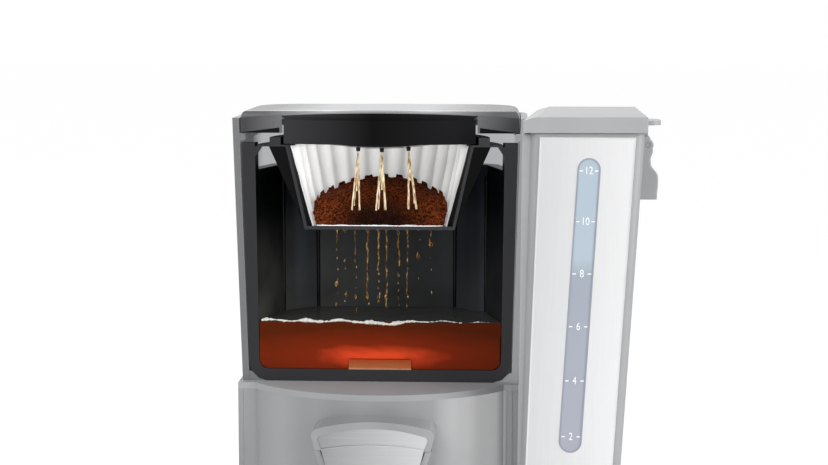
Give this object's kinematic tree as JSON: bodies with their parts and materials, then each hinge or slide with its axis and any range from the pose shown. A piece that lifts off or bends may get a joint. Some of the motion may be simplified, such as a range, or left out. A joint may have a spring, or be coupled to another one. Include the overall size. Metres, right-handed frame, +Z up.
{
  "type": "drip coffee maker",
  "caption": "Cutaway dispensing drip coffee maker with an inner coffee tank, cone brew basket under a hinged lid, side water reservoir with gauge window, and a lever dispenser over a drip tray.",
  "frame": {"origin": "on the table, below the middle of the machine's bounding box", "axes": "+Z up, +Y to the back, +X to the reservoir side"},
  "size_m": [0.2864, 0.2412, 0.389],
  "materials": {
    "ghost_housing": "pale grey moulded ABS",
    "body_gloss": "grey gloss moulded ABS",
    "base_black": "fine-grained black ABS",
    "tank_dark": "dark grey moulded polypropylene",
    "basket_black": "gloss black nylon",
    "foot_rubber": "soft rubber",
    "steel_trim": "brushed stainless sheet",
    "steel_pin": "ground steel",
    "reservoir_grey": "grey moulded ABS",
    "window_clear": "clear blue-grey acrylic",
    "filter_paper": "bleached crepe paper",
    "grounds_brown": "wet coffee grounds",
    "coffee_amber": "clear brewed coffee",
    "water_gold": "falling hot water",
    "screen_tan": "tan moulded plate",
    "heater_alloy": "cast aluminium",
    "valve_white": "natural acetal",
    "board_green": "glass-fibre board",
    "button_grey": "satin grey key caps"
  },
  "bodies": {
    "housing": {"feet": "foot_rubber", "base_plate": "base_black", "base_screws": "steel_pin", "base_shell": "base_black", "apron_shell": "base_black", "cord_inlet": "base_black", "body_shell": "body_gloss", "front_wall": "body_gloss", "lever_pin": "steel_pin", "tank_deck": "body_gloss", "rear_shell": "ghost_housing", "lid_hinge_pin": "steel_pin", "coffee_tank": "tank_dark", "outlet_screen": "screen_tan", "brewed_coffee": "coffee_amber", "brew_basket": "basket_black", "paper_filter": "filter_paper", "coffee_grounds": "grounds_brown", "water_jets": "water_gold", "coffee_drips": "coffee_amber", "reservoir_dock": "base_black", "dispenser_hood": "base_black", "dispenser_cap": "steel_trim", "valve_body": "valve_white", "outlet_duct": "valve_white", "warming_plate": "heater_alloy", "flow_heater": "heater_alloy", "thermostat": "heater_alloy", "thermal_fuse": "valve_white", "riser_tube": "valve_white", "inlet_hose": "foot_rubber", "check_valve": "valve_white", "control_panel": "base_black", "display_lens": "window_clear", "tact_switches": "board_green", "control_board": "board_green"},
    "lid": {"brew_lid": "ghost_housing", "shower_drum": "basket_black", "shower_plate": "basket_black"},
    "reservoir": {"reservoir_tank": "reservoir_grey", "reservoir_cap": "reservoir_grey", "steel_panel": "steel_trim", "water_window": "window_clear", "reservoir_handle": "reservoir_grey", "reservoir_hinge_pin": "steel_pin"},
    "reservoir_cover": {"reservoir_lid": "reservoir_grey"},
    "lever": {"dispense_lever": "steel_trim"},
    "valve": {"valve_plunger": "valve_white", "valve_seal": "foot_rubber"},
    "tray": {"drip_tray": "base_black"},
    "rest": {"cup_rest": "steel_trim"},
    "key_1": {"button_1": "button_grey"},
    "key_2": {"button_2": "button_grey"},
    "key_3": {"button_3": "button_grey"}
  },
  "joints": [
    {"name": "lid_hinge", "type": "hinge", "parent": "housing", "child": "lid", "pos_m": [-0.04405, 0.11613, 0.384], "axis": [-1, 0, 0], "range_deg": [0, 85]},
    {"name": "reservoir_lift", "type": "slide", "parent": "housing", "child": "reservoir", "axis": [0, 0, 1], "range_m": [0, 0.04]},
    {"name": "reservoir_lid_hinge", "type": "hinge", "parent": "reservoir", "child": "reservoir_cover", "pos_m": [0.1329, 0.01837, 0.3686], "axis": [0, 1, 0], "range_deg": [0, 75]},
    {"name": "lever_hinge", "type": "hinge", "parent": "housing", "child": "lever", "pos_m": [-0.04405, -0.01963, 0.168], "axis": [1, 0, 0], "range_deg": [0, 6], "stiffness_Nm_per_rad": 1.5, "springref_deg": -5.73},
    {"name": "valve_lift", "type": "slide", "parent": "housing", "child": "valve", "axis": [0, 0, 1], "range_m": [0, 0.005]},
    {"name": "tray_lift", "type": "slide", "parent": "housing", "child": "tray", "axis": [0, 0, 1], "range_m": [0, 0.03]},
    {"name": "cup_rest_lift", "type": "slide", "parent": "tray", "child": "rest", "axis": [0, 0, 1], "range_m": [0, 0.03]},
    {"name": "button_1_press", "type": "slide", "parent": "housing", "child": "key_1", "axis": [0, 1, 0], "range_m": [0, 0.0015], "stiffness_N_per_m": 800},
    {"name": "button_2_press", "type": "slide", "parent": "housing", "child": "key_2", "axis": [0, 1, 0], "range_m": [0, 0.0015], "stiffness_N_per_m": 800},
    {"name": "button_3_press", "type": "slide", "parent": "housing", "child": "key_3", "axis": [0, 1, 0], "range_m": [0, 0.0015], "stiffness_N_per_m": 800}
  ],
  "couplings": [
    {"joint": "valve_lift", "follows": "lever_hinge", "m_per_rad": 0.046}
  ]
}
